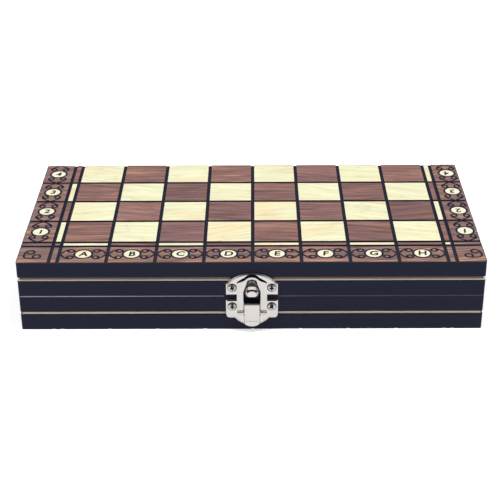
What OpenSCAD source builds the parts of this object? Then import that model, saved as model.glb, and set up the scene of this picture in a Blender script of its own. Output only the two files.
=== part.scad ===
// Folding wooden games compendium: chess and draughts board outside, backgammon board
// inside, two half trays hinged along the back and held shut by a toggle latch.
// Millimetres. Origin at the centre of the base, +X right, +Y to the hinges, +Z up.
// Drawn closed and latched, lying on the lower half's board face.

/* [Case] */
// Width of the closed case, along its fold
case_w = 240; // [236:1:280]
// Depth of the closed case, from latch face to fold
case_d = 120; // [118:1:140]
// Height of one half, from board face to rim
half_h = 19.8; // [18.5:0.1:26]
// Thickness of the rails round each tray
wall_t = 8; // [7.5:0.5:10]
// Thickness of the plywood board panels
ply_t = 3; // [2.4:0.1:4]
// Rounding of the case's upright corners
corner_r = 1.2; // [0.6:0.1:2]
// Width of the groove milled round each half
groove_w = 1.9; // [1.2:0.1:2.4]
// Depth of that groove
groove_depth = 1.2; // [1:0.1:1.6]
// Height of the groove's middle above the board face
groove_at = 9.6; // [8.5:0.1:11]
// Chamfer on the outer edge of each rim
rim_chamfer = 0.3; // [0.2:0.05:0.8]

/* [Board] */
// Spacing of the squares from left to right
column_pitch = 24.9; // [24:0.1:25]
// Spacing of the squares from front to back
row_pitch = 24.5; // [24:0.1:24.6]
// Spacing of the narrow strip round the squares
strip_pitch = 4.4; // [4:0.1:6]
// Depth of the letter border at the front
letter_border = 17.8; // [14:0.1:19]
// How far the pattern sits right of the middle
pattern_shift = 0.75; // [-1:0.05:1]
// Width of the milled lines that run front to back
column_line = 1.9; // [0.8:0.1:2]
// Width of the milled lines that run left to right
row_line = 2; // [0.8:0.1:2]
// Thickness of the board veneers
veneer_t = 0.5; // [0.4:0.1:1]
// Depth of the lines milled in the border veneer
border_line_depth = 0.35; // [0.2:0.05:0.35]
// Diameter of the inlaid coordinate discs
disc_d = 8.6; // [6:0.1:10]
// Centre of the letter discs, from the front edge
letter_disc_at = 9.2; // [8:0.1:11]
// Centre of the number discs, from the pattern's middle
number_disc_at = 112.9; // [110:0.1:114]

/* [Backgammon field] */
// Thickness of the inner field veneer and its points
field_t = 0.4; // [0.3:0.1:0.6]
// Length of a point
point_l = 88; // [70:1:100]
// Gap between neighbouring points at their bases
point_gap = 0.8; // [0.4:0.1:2]

/* [Hinges] */
// Distance of each hinge's middle from the middle of the case
hinge_x = 72; // [50:1:90]
// Length of a hinge along the fold
hinge_l = 20; // [16:0.5:26]
// Thickness of a hinge leaf
leaf_t = 0.7; // [0.5:0.1:0.8]
// Outer diameter of the hinge barrel
barrel_d = 3; // [2.6:0.1:3.4]
// Diameter of the hinge pin
hinge_pin_d = 1.2; // [1:0.1:1.4]

/* [Latch] */
// Height of the latch plates above the wood
plate_h = 1.2; // [1:0.1:1.4]
// Thickness of the latch's sheet metal
sheet_t = 0.7; // [0.6:0.05:0.8]
// Half the width of the lever
lever_half_w = 4; // [3.6:0.1:4.1]
// Half the width of the yoke, outside
yoke_half_w = 7.75; // [7.4:0.05:7.8]
// Half the width of the yoke's window
window_half_w = 4.47; // [4.3:0.01:4.7]
// Diameter of the latch screw heads
screw_head_d = 4.3; // [3.6:0.1:4.4]

/* [Hidden] */
$fn = 48;
fit = 0.05;          // radial clearance of a turning pin
over = 1;            // how far a cutter runs past a face

half_w = case_w / 2;
half_d = case_d / 2;
panel_top = veneer_t + ply_t;
fold_y = half_d + 0.2;   // hinge axis, just behind the back face

// Edges of the board's cells, from left to right and from the front to the fold
first_column = pattern_shift - 4 * column_pitch;
first_row = letter_border + strip_pitch - half_d;
column_edges = concat(
    [-half_w, first_column - strip_pitch],
    [for (i = [0:8]) first_column + i * column_pitch],
    [first_column + 8 * column_pitch + strip_pitch, half_w]
);
row_edges = concat(
    [-half_d, letter_border - half_d],
    [for (j = [0:3]) first_row + j * row_pitch],
    [half_d]
);
last_column = len(column_edges) - 2;
last_row = len(row_edges) - 2;
number_rows = [2:last_row];
letter_columns = [2:9];

// Butt hinges let into the back rims; each leaf lies in its own rim
leaf_gap = 0.1;
leaf_w = 5.4;
leaf_edge = fold_y - barrel_d / 2 - 0.15;
knuckle_gap = 0.1;
knuckle_l = (hinge_l - 2 * knuckle_gap) / 3;
hinge_screw_x = 6.2;
hinge_screw_at = fold_y - 4.6;
hinge_screw_head_d = 3;
hinge_screw_d = 1.6;
hinge_screw_l = 6;

// Backgammon field inside the rails
field_w = case_w - 2 * wall_t;
field_d = case_d - 2 * wall_t;
point_pitch = field_d / 6;

// Latch axes, as distance out from the front face and height above the seam
latch_x = 0.3;           // the latch sits a hair right of the middle
lever_axis = [2.75, -4];
yoke_axis = [2.3, -8.6];
lever_face = 4.5;
lever_bend = -13.4;      // where the face leans in towards its tip
lever_tip = -16;
tip_lean = 0.7;
lever_roof = 1.75;       // top of the lever above its pin
lever_roof_l = 1.3;      // how far the lever's face is bent back over the pin
flange_r = 1.2;
lever_pin_d = 1.2;
yoke_pin_d = 1;
knuckle_r = 0.95;
yoke_back = 1.45;
yoke_shoulder = 8.4;
notch_half_w = 4.35;
notch_bottom = -11.4;
tongue_half_w = 3;
base_top = -1.6;
base_bottom = -12.6;
base_half_w = 13.4;
base_arc_r = 11;
base_arc_at = -5.9;
catch_bottom = 1;
catch_shoulder = 8.1;
catch_half_w = 13.3;
catch_arc_r = 17.1;
catch_arc_at = -3.2;
nose_bottom = 1.45;
nose_face = 3.7;
bevel_run = 0.8;
bevel_rise = 0.5;
screw_x = 10.15;
catch_screw_at = 5.6;
base_screw_at = -5.4;
screw_shank_d = 2;
screw_l = 6.8;

wood_black = [0.11, 0.11, 0.16];
wood_dark = [0.44, 0.27, 0.24];
wood_border = [0.52, 0.33, 0.27];
wood_light = [0.96, 0.93, 0.78];
wood_field = [0.84, 0.70, 0.50];
wood_red = [0.55, 0.24, 0.14];
nickel = [0.82, 0.82, 0.80];
steel = [0.66, 0.66, 0.66];

// Puts a piece drawn for the lower half where the upper half has its twin
module turned_over() {
    translate([0, 0, 2 * half_h]) mirror([0, 0, 1]) children();
}

// Plan of the case, with rounded corners
module case_plan() {
    square([case_w - 2 * corner_r, case_d], center = true);
    square([case_w, case_d - 2 * corner_r], center = true);
    for (x = [-1, 1], y = [-1, 1])
        translate([x * (half_w - corner_r), y * (half_d - corner_r)]) circle(corner_r);
}

// Plywood under the board veneers, its edge flush with the rails
module board_panel() {
    translate([0, 0, veneer_t]) linear_extrude(ply_t) case_plan();
}

// Section of a rail: distance in from the outer face, and height
module rail_section() {
    groove_r = groove_w / 2;
    difference() {
        translate([0, panel_top]) square([wall_t, half_h - panel_top]);
        translate([groove_depth - groove_r, groove_at]) circle(groove_r);
        translate([-over, groove_at - groove_r]) square([groove_depth - groove_r + over, groove_w]);
        polygon([
            [-over, half_h - rim_chamfer - over],
            [rim_chamfer + over, half_h + over],
            [-over, half_h + over]
        ]);
    }
}

// A moulded rail along X with mitred ends, its outer face at y = 0
module rail(length) {
    half = length / 2;
    intersection() {
        translate([-half, 0, 0]) rotate([90, 0, 90]) linear_extrude(length) rail_section();
        linear_extrude(half_h + over)
            polygon([[-half, 0], [half, 0], [half - wall_t, wall_t], [wall_t - half, wall_t]]);
    }
}

module rounded_by_case() {
    intersection() {
        children();
        linear_extrude(half_h + over) case_plan();
    }
}

// The pilot holes of its latch screws are at the given height against the rim
module front_rail(screw_at) {
    difference() {
        rounded_by_case() translate([0, -half_d, 0]) rail(case_w);
        screw_holes(screw_at, screw_shank_d, screw_l - plate_h);
    }
}

module back_rail() {
    difference() {
        rounded_by_case() translate([0, half_d, 0]) rotate([0, 0, 180]) rail(case_w);
        for (side = [-1, 1]) translate([side * hinge_x, 0, 0]) hinge_mortise();
    }
}

module left_rail() {
    rounded_by_case() translate([-half_w, 0, 0]) rotate([0, 0, -90]) rail(case_d);
}

module right_rail() {
    rounded_by_case() translate([half_w, 0, 0]) rotate([0, 0, 90]) rail(case_d);
}

// Limits of cell i across and j deep, between the milled lines
function cell_x0(i) = column_edges[i] + (i == 0 ? 0 : column_line / 2);
function cell_x1(i) = column_edges[i + 1] - (i == last_column ? 0 : column_line / 2);
function cell_y0(j) = row_edges[j] + (j == 0 ? 0 : row_line / 2);
function cell_y1(j) = row_edges[j + 1] - (j == last_row ? 0 : row_line / 2);

module cell(i, j) {
    translate([cell_x0(i), cell_y0(j), 0])
        cube([cell_x1(i) - cell_x0(i), cell_y1(j) - cell_y0(j), veneer_t]);
}

// Squares and strip pieces alternate like one larger chequerboard
module veneers(parity) {
    for (i = [1:last_column - 1], j = [1:last_row])
        if ((i + j) % 2 == parity) cell(i, j);
}

// Centres of the coordinate discs
disc_places = concat(
    [for (i = letter_columns)
        [(column_edges[i] + column_edges[i + 1]) / 2, letter_disc_at - half_d]],
    [for (side = [-1, 1], j = number_rows)
        [pattern_shift + side * number_disc_at, (row_edges[j] + row_edges[j + 1]) / 2]]
);

module discs() {
    for (place = disc_places) translate(place) cylinder(h = veneer_t, d = disc_d);
}

// Board border on three sides, with the pattern's lines milled into it
module border_veneer() {
    inner_x0 = column_edges[1] - column_line / 2;
    inner_x1 = column_edges[last_column] + column_line / 2;
    inner_y0 = row_edges[1] - row_line / 2;
    line_top = border_line_depth;
    difference() {
        linear_extrude(veneer_t) case_plan();
        translate([inner_x0, inner_y0, -over])
            cube([inner_x1 - inner_x0, case_d, veneer_t + 2 * over]);
        for (i = [1:last_column])
            translate([column_edges[i] - column_line / 2, -half_d - over, -over])
                cube([column_line, letter_border + over, line_top + over]);
        for (j = [1:last_row], side = [-1, 1])
            translate([side < 0 ? -half_w - over : inner_x1 - over,
                       row_edges[j] - row_line / 2, -over])
                cube([half_w, row_line, line_top + over]);
        for (place = disc_places)
            translate([place.x, place.y, -over])
                cylinder(h = veneer_t + 2 * over, d = disc_d);
    }
}

// The border is laid as three strips: the front one runs the full width
module border_strip(from, to) {
    intersection() {
        border_veneer();
        translate([from.x, from.y, -over]) cube([to.x - from.x, to.y - from.y, 2 * over]);
    }
}

module front_border() {
    border_strip([-half_w, -half_d], [half_w, row_edges[1]]);
}

module left_border() {
    border_strip([-half_w, row_edges[1]], [0, half_d]);
}

module right_border() {
    border_strip([0, row_edges[1]], [half_w, half_d]);
}

// Outline of one point, its base on the left wall
module point_plan(k) {
    y0 = k * point_pitch - field_d / 2 + point_gap / 2;
    y1 = y0 + point_pitch - point_gap;
    polygon([[-field_w / 2, y0], [point_l - field_w / 2, (y0 + y1) / 2], [-field_w / 2, y1]]);
}

// The six points of one colour: every other one on each side wall
module point_plans(parity) {
    for (k = [0:5]) {
        if (k % 2 == parity) point_plan(k);
        if (k % 2 != parity) mirror([1, 0]) point_plan(k);
    }
}

module points(parity) {
    translate([0, 0, panel_top]) linear_extrude(field_t) point_plans(parity);
}

module field_veneer() {
    translate([0, 0, panel_top]) linear_extrude(field_t) difference() {
        square([field_w, field_d], center = true);
        point_plans(0);
        point_plans(1);
    }
}

// Room for one leaf and for the barrel, in the rim of a half
module hinge_mortise() {
    mortise_t = leaf_t + leaf_gap / 2;
    translate([-hinge_l / 2, leaf_edge - leaf_w, half_h - mortise_t])
        cube([hinge_l, leaf_w + 2, mortise_t + over]);
    translate([0, fold_y, half_h]) rotate([0, 90, 0])
        cylinder(h = hinge_l + 0.4, d = barrel_d + 0.4, center = true);
    for (side = [-1, 1])
        translate([side * hinge_screw_x, hinge_screw_at, half_h - hinge_screw_l])
            cylinder(h = hinge_screw_l + over, d = hinge_screw_d);
}

// Knuckle number k of a hinge, bored for the pin
module knuckle(k, bore_d) {
    x0 = k * (knuckle_l + knuckle_gap) - hinge_l / 2;
    translate([x0, fold_y, half_h]) rotate([0, 90, 0]) difference() {
        cylinder(h = knuckle_l, d = barrel_d);
        translate([0, 0, -over]) cylinder(h = knuckle_l + 2 * over, d = bore_d);
    }
}

// Flat of a leaf, with the roots that reach its knuckles
module leaf_flat(knuckles, bore_d) {
    level = half_h - leaf_gap / 2 - leaf_t;
    difference() {
        union() {
            translate([-hinge_l / 2, leaf_edge - leaf_w, level]) cube([hinge_l, leaf_w, leaf_t]);
            for (k = knuckles)
                translate([k * (knuckle_l + knuckle_gap) - hinge_l / 2, leaf_edge - over, level])
                    cube([knuckle_l, fold_y - leaf_edge + over, leaf_t]);
        }
        translate([0, fold_y, half_h]) rotate([0, 90, 0])
            cylinder(h = hinge_l + 2 * over, d = bore_d, center = true);
        for (side = [-1, 1])
            translate([side * hinge_screw_x, hinge_screw_at, level]) hinge_screw_seat();
    }
}

// Countersunk hole in a leaf
module hinge_screw_seat() {
    translate([0, 0, -over]) cylinder(h = leaf_t + 2 * over, d = hinge_screw_d);
    cylinder(h = leaf_t, d1 = hinge_screw_d, d2 = hinge_screw_head_d);
}

module lower_leaf() {
    leaf_flat([0, 2], hinge_pin_d);
    for (k = [0, 2]) knuckle(k, hinge_pin_d);
}

module upper_leaf() {
    turned_over() {
        leaf_flat([1], hinge_pin_d + 2 * fit);
        knuckle(1, hinge_pin_d + 2 * fit);
    }
}

module hinge_pin() {
    translate([0, fold_y, half_h]) rotate([0, 90, 0])
        cylinder(h = hinge_l, d = hinge_pin_d, center = true);
}

// Countersunk wood screw, its head flush with the leaf
module hinge_screw() {
    top = half_h - leaf_gap / 2;
    difference() {
        union() {
            translate([0, 0, top - leaf_t])
                cylinder(h = leaf_t, d1 = hinge_screw_d, d2 = hinge_screw_head_d);
            translate([0, 0, half_h - hinge_screw_l])
                cylinder(h = hinge_screw_l - leaf_t, d = hinge_screw_d);
        }
        cross_recess(top, 1.8, 0.4, 0.35);
    }
}

// Phillips cross in a screw head whose top is at the given height
module cross_recess(top, length, width, depth) {
    for (turn = [0, 90]) rotate([0, 0, turn])
        translate([-length / 2, -width / 2, top - depth]) cube([length, width, depth + over]);
}

module hinge_screws() {
    for (side = [-1, 1], along = [-1, 1])
        translate([side * hinge_x + along * hinge_screw_x, hinge_screw_at, 0]) hinge_screw();
}

// Latch pieces are drawn as x and height above the seam, and raised out of the front face
module on_front() {
    translate([latch_x, -half_d, half_h]) rotate([90, 0, 0]) children();
}

// A solid across the latch whose section is given as distance out and height
module across(half_width) {
    translate([latch_x - half_width, -half_d, half_h]) mirror([0, 1, 0]) rotate([90, 0, 90])
        linear_extrude(2 * half_width) children();
}

// A pin or hole along X at a latch axis
module latch_axis_rod(place, half_length, d) {
    translate([latch_x, -half_d - place[0], half_h + place[1]]) rotate([0, 90, 0])
        cylinder(h = 2 * half_length, d = d, center = true);
}

// Block with sloping flanks, which the straight edges of a pressed plate are cut from
module pressed_block(half_width, bottom, top) {
    shoulder = plate_h - bevel_rise;
    intersection() {
        across(half_width) polygon([
            [0, bottom], [0, top], [shoulder, top], [plate_h, top - bevel_run],
            [plate_h, bottom + bevel_run], [shoulder, bottom]
        ]);
        on_front() translate([0, bottom, 0]) mirror([0, 1, 0]) rotate([90, 0, 0])
            linear_extrude(top - bottom) polygon([
                [-half_width, 0], [half_width, 0], [half_width, shoulder],
                [half_width - bevel_run, plate_h], [bevel_run - half_width, plate_h],
                [-half_width, shoulder]
            ]);
    }
}

// Outline of a plate's two ears, with rounded lower and upper corners
module ears(half_width, bottom, top, low_r, high_r) {
    translate([-half_width, bottom + low_r])
        square([2 * half_width, top - bottom - low_r - high_r]);
    translate([low_r - half_width, bottom]) square([2 * (half_width - low_r), 2 * low_r]);
    translate([high_r - half_width, top - 2 * high_r])
        square([2 * (half_width - high_r), 2 * high_r]);
    for (side = [-1, 1]) {
        translate([side * (half_width - low_r), bottom + low_r]) circle(low_r);
        translate([side * (half_width - high_r), top - high_r]) circle(high_r);
    }
}

// Disc with a sloping rim, which the curved edge of a pressed plate is cut from
module pressed_disc(radius, height) {
    on_front() translate([0, height, 0]) {
        cylinder(h = plate_h - bevel_rise, r = radius, $fn = 96);
        translate([0, 0, plate_h - bevel_rise])
            cylinder(h = bevel_rise, r1 = radius, r2 = radius - bevel_run, $fn = 96);
    }
}

// Outline of the nose on the catch, wide below and rounded above
module nose_plan() {
    translate([0, 7.9]) circle(2.65);
    polygon([
        [-2.55, 8.2], [2.55, 8.2], [3.75, 3.6], [3.3, nose_bottom], [-3.3, nose_bottom],
        [-3.75, 3.6]
    ]);
}

// Nose on the catch: a round hood with an arched lip, a crease under the lip and a flat tongue
module nose() {
    hood_r = 3.3;
    hood_at = [1.05, 7.3];
    lip_r = 4.2;             // arch of the hood's lower edge, about a point on the tongue
    lip_at = 1.95;
    crease_w = 0.55;
    crease_depth = 1;
    crease_end = lip_at + 2;
    round_r = 4.6;           // the nose is rounded from side to side
    intersection() {
        on_front() linear_extrude(10) nose_plan();
        difference() {
            across(5) {
                translate(hood_at) circle(hood_r);
                translate([0, nose_bottom]) square([nose_face, hood_at[1] - nose_bottom]);
            }
            on_front() translate([0, lip_at, nose_face]) cylinder(h = 5, r = lip_r);
            on_front() intersection() {
                translate([0, lip_at, nose_face - crease_depth]) difference() {
                    cylinder(h = 5, r = lip_r);
                    translate([0, 0, -over]) cylinder(h = 5 + 2 * over, r = lip_r - crease_w);
                }
                translate([-5, crease_end, 0]) cube([10, 10, 10]);
            }
        }
        translate([latch_x, -half_d - hood_at[0] - hood_r + round_r, half_h])
            cylinder(h = 20, r = round_r, $fn = 96);
    }
}

// Opening that the nose was pressed out of, seen as a dark arch over the yoke
module catch_opening() {
    translate([0, 8.6]) circle(4.75);
    polygon([[-7.3, 8.6], [-7.1, 9.4], [-3.8, 11.4], [3.8, 11.4], [7.1, 9.4], [7.3, 8.6]]);
}

module catch_plate() {
    difference() {
        union() {
            intersection() {
                pressed_block(catch_half_w, catch_bottom, catch_shoulder);
                on_front() linear_extrude(plate_h)
                    ears(catch_half_w, catch_bottom, catch_shoulder, 0.8, 0.5);
            }
            intersection() {
                pressed_disc(catch_arc_r, catch_arc_at);
                on_front() translate([-catch_half_w, catch_shoulder - bevel_run, -over])
                    cube([2 * catch_half_w, 10, 10]);
            }
        }
        on_front() translate([0, 0, -over]) linear_extrude(plate_h + 2 * over) catch_opening();
        screw_holes(catch_screw_at, screw_shank_d + 0.4, over);
    }
    nose();
}

module screw_holes(height, d, depth) {
    on_front() for (side = [-1, 1]) translate([side * screw_x, height, -depth])
        cylinder(h = depth + plate_h + over, d = d);
}

// Pan-head screw standing on a latch plate, its cross turned by the given angle
module latch_screw(turn) {
    head_h = 1;
    dome_r = 3.2;
    difference() {
        union() {
            intersection() {
                translate([0, 0, plate_h]) cylinder(h = head_h, d = screw_head_d);
                translate([0, 0, plate_h + head_h - dome_r]) sphere(dome_r);
            }
            translate([0, 0, plate_h - screw_l]) cylinder(h = screw_l + 0.2, d = screw_shank_d);
        }
        rotate([0, 0, turn]) cross_recess(plate_h + head_h, 2.5, 0.55, 0.7);
    }
}

module latch_screws(height, turns) {
    on_front() {
        translate([-screw_x, height, 0]) latch_screw(turns[0]);
        translate([screw_x, height, 0]) latch_screw(turns[1]);
    }
}

module base_plate() {
    difference() {
        union() {
            intersection() {
                pressed_block(base_half_w, base_bottom, base_top);
                on_front() linear_extrude(plate_h)
                    ears(base_half_w, base_bottom, base_top, 2.8, 0.6);
            }
            intersection() {
                pressed_disc(base_arc_r, base_arc_at);
                on_front() translate([-base_half_w, base_bottom + bevel_run - 10, -over])
                    cube([2 * base_half_w, 10, 10]);
            }
        }
        on_front() translate([-notch_half_w, notch_bottom, -over])
            cube([2 * notch_half_w, 20, plate_h + 2 * over]);
        screw_holes(base_screw_at, screw_shank_d + 0.4, over);
    }
    lever_tongue();
}

// Tongue of the base plate inside the lever, rolled round the lever's pin at its top
module lever_tongue() {
    shelf_top = lever_axis[1] - 0.6;   // low enough for the lever's roof to swing in above it
    difference() {
        across(tongue_half_w) {
            translate(lever_axis) circle(knuckle_r);
            translate([0, notch_bottom - over]) square([sheet_t, shelf_top - notch_bottom + over]);
            translate([0, shelf_top - sheet_t]) square([lever_axis[0], sheet_t]);
        }
        latch_axis_rod(lever_axis, 10, lever_pin_d);
    }
}

// Side view of the lever: bent back over its pin, deep at the yoke's pin, thin at the tip
module lever_side() {
    back = lever_face - sheet_t;
    roof = lever_axis[1] + lever_roof;
    polygon(concat(
        [
            [lever_axis[0] - 1.5, lever_axis[1] - 0.6],
            [lever_axis[0] - 1.5, lever_axis[1] + 0.6],
            [lever_face - lever_roof_l, roof]
        ],
        [for (turn = [90:-22.5:0])
            [back + sheet_t * cos(turn), roof - sheet_t + sheet_t * sin(turn)]],
        [
            [lever_face, lever_bend],
            [lever_face - tip_lean, lever_tip],
            [back - tip_lean, lever_tip],
            [back, lever_bend],
            [back, lever_bend + 0.8],
            [yoke_axis[0] - flange_r, yoke_axis[1] - flange_r]
        ]
    ));
}

// Lever seen from above, with its two front edges rounded over
module lever_bend_edges() {
    edge_r = 0.55;
    edge_mid = 0.16;
    front = -lever_face;
    polygon([
        [-lever_half_w, 2], [-lever_half_w, front + edge_r],
        [edge_mid - lever_half_w, front + edge_mid], [edge_r - lever_half_w, front],
        [lever_half_w - edge_r, front], [lever_half_w - edge_mid, front + edge_mid],
        [lever_half_w, front + edge_r], [lever_half_w, 2]
    ]);
}

// Front view of the lever, with its round tip
module lever_front() {
    tip_r = 4.8;
    tip_at = lever_tip + tip_r;
    translate([-lever_half_w, tip_at]) square([2 * lever_half_w, 14]);
    intersection() {
        translate([0, tip_at]) circle(tip_r, $fn = 96);
        translate([-lever_half_w, tip_at - 6]) square([2 * lever_half_w, 7]);
    }
}

module lever() {
    inner_half_w = lever_half_w - sheet_t;
    roof_inside = lever_axis[1] + lever_roof - sheet_t;
    panel_half_w = 3.1;
    panel_bottom = lever_bend + 0.8;
    difference() {
        intersection() {
            across(lever_half_w) lever_side();
            on_front() linear_extrude(10) lever_front();
            translate([latch_x, -half_d, 0]) linear_extrude(2 * half_h) lever_bend_edges();
        }
        // Channel between the flanges, open to the wood
        across(inner_half_w) {
            translate([-over, lever_bend])
                square([lever_face - sheet_t + over, roof_inside - lever_bend]);
            translate([-over, roof_inside - over]) square([lever_face - lever_roof_l + over, 5]);
        }
        // Shallow pressed panel on the face
        on_front() translate([-panel_half_w, panel_bottom, lever_face - 0.12])
            cube([2 * panel_half_w, lever_axis[1] - 0.2 - panel_bottom, over]);
        latch_axis_rod(lever_axis, 10, lever_pin_d + 2 * fit);
        latch_axis_rod(yoke_axis, 10, yoke_pin_d + 2 * fit);
    }
}

module lever_pin() {
    latch_axis_rod(lever_axis, lever_half_w, lever_pin_d);
}

module yoke_plan() {
    difference() {
        union() {
            translate([-yoke_half_w, yoke_axis[1]])
                square([2 * yoke_half_w, yoke_shoulder - yoke_axis[1] + 0.1]);
            polygon([[-yoke_half_w, yoke_shoulder], [-6.9, 8.85], [-4.7, 9.65], [-3.3, 10.5],
                     [3.3, 10.5], [4.7, 9.65], [6.9, 8.85], [yoke_half_w, yoke_shoulder]]);
            translate([0, 7.6]) circle(4.45);
        }
        // Window that drops over the nose
        translate([0, 8.1]) circle(2.8);
        polygon([[-2.72, 8.4], [2.72, 8.4], [window_half_w, 3.6], [window_half_w, -20],
                 [-window_half_w, -20], [-window_half_w, 3.6]]);
    }
}

module yoke() {
    difference() {
        union() {
            on_front() translate([0, 0, yoke_back]) linear_extrude(sheet_t) yoke_plan();
            for (side = [-1, 1])
                translate([side * (yoke_half_w + window_half_w) / 2, 0, 0])
                    latch_axis_rod(yoke_axis, (yoke_half_w - window_half_w) / 2, 2 * knuckle_r);
        }
        latch_axis_rod(yoke_axis, 10, yoke_pin_d);
    }
}

module yoke_pin() {
    latch_axis_rod(yoke_axis, yoke_half_w, yoke_pin_d);
}

color(wood_black) board_panel();  // lower_board_panel
color(wood_black) front_rail(base_screw_at);  // lower_front_rail
color(wood_black) back_rail();  // lower_back_rail
color(wood_black) left_rail();  // lower_left_rail
color(wood_black) right_rail();  // lower_right_rail
color(wood_border) front_border();  // lower_front_border
color(wood_border) left_border();  // lower_left_border
color(wood_border) right_border();  // lower_right_border
color(wood_light) veneers(0);  // lower_light_veneers
color(wood_dark) veneers(1);  // lower_dark_veneers
color(wood_light) discs();  // lower_discs
color(wood_field) field_veneer();  // lower_field_veneer
color(wood_dark) points(0);  // lower_dark_points
color(wood_red) points(1);  // lower_red_points
color(wood_black) turned_over() board_panel();  // upper_board_panel
color(wood_black) turned_over() front_rail(-catch_screw_at);  // upper_front_rail
color(wood_black) turned_over() back_rail();  // upper_back_rail
color(wood_black) turned_over() left_rail();  // upper_left_rail
color(wood_black) turned_over() right_rail();  // upper_right_rail
color(wood_border) turned_over() front_border();  // upper_front_border
color(wood_border) turned_over() left_border();  // upper_left_border
color(wood_border) turned_over() right_border();  // upper_right_border
color(wood_light) turned_over() veneers(1);  // upper_light_veneers
color(wood_dark) turned_over() veneers(0);  // upper_dark_veneers
color(wood_light) turned_over() discs();  // upper_discs
color(wood_field) turned_over() field_veneer();  // upper_field_veneer
color(wood_dark) turned_over() points(1);  // upper_dark_points
color(wood_red) turned_over() points(0);  // upper_red_points
color(nickel) translate([-hinge_x, 0, 0]) lower_leaf();  // left_hinge_lower_leaf
color(nickel) translate([-hinge_x, 0, 0]) upper_leaf();  // left_hinge_upper_leaf
color(steel) translate([-hinge_x, 0, 0]) hinge_pin();  // left_hinge_pin
color(nickel) translate([hinge_x, 0, 0]) lower_leaf();  // right_hinge_lower_leaf
color(nickel) translate([hinge_x, 0, 0]) upper_leaf();  // right_hinge_upper_leaf
color(steel) translate([hinge_x, 0, 0]) hinge_pin();  // right_hinge_pin
color(steel) hinge_screws();  // lower_hinge_screws
color(steel) turned_over() hinge_screws();  // upper_hinge_screws
color(nickel) catch_plate();
color(nickel) latch_screws(catch_screw_at, [20, 0]);  // catch_screws
color(nickel) base_plate();
color(nickel) latch_screws(base_screw_at, [0, 40]);  // base_screws
color(nickel) lever();
color(steel) lever_pin();
color(nickel) yoke();
color(steel) yoke_pin();
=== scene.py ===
# Looks for the folding games box: veneered board outside, black satin rails, nickel latch.
# Metres, in the frame's axes: +X right, +Y to the hinges, +Z up, origin under the middle.
# Materials and drawings work in millimetres, in the same axes.
import math

import bpy
from mathutils import Matrix, Vector


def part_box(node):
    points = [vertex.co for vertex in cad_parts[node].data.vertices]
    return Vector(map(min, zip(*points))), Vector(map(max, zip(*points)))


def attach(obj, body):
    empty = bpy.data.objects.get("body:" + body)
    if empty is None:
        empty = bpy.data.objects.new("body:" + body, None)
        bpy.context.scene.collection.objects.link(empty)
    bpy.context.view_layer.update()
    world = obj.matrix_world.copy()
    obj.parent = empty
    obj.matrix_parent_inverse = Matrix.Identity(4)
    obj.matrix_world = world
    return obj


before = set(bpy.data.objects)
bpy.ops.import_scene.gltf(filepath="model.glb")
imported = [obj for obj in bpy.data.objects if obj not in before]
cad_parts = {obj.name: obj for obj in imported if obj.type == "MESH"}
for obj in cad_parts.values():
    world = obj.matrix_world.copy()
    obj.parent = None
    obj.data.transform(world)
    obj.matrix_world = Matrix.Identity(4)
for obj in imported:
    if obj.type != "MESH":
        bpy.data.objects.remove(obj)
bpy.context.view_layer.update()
MM = 0.001


# Node graphs: an input given as a socket is linked, and any other value is set
def is_socket(value):
    return isinstance(value, bpy.types.NodeSocket)


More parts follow.
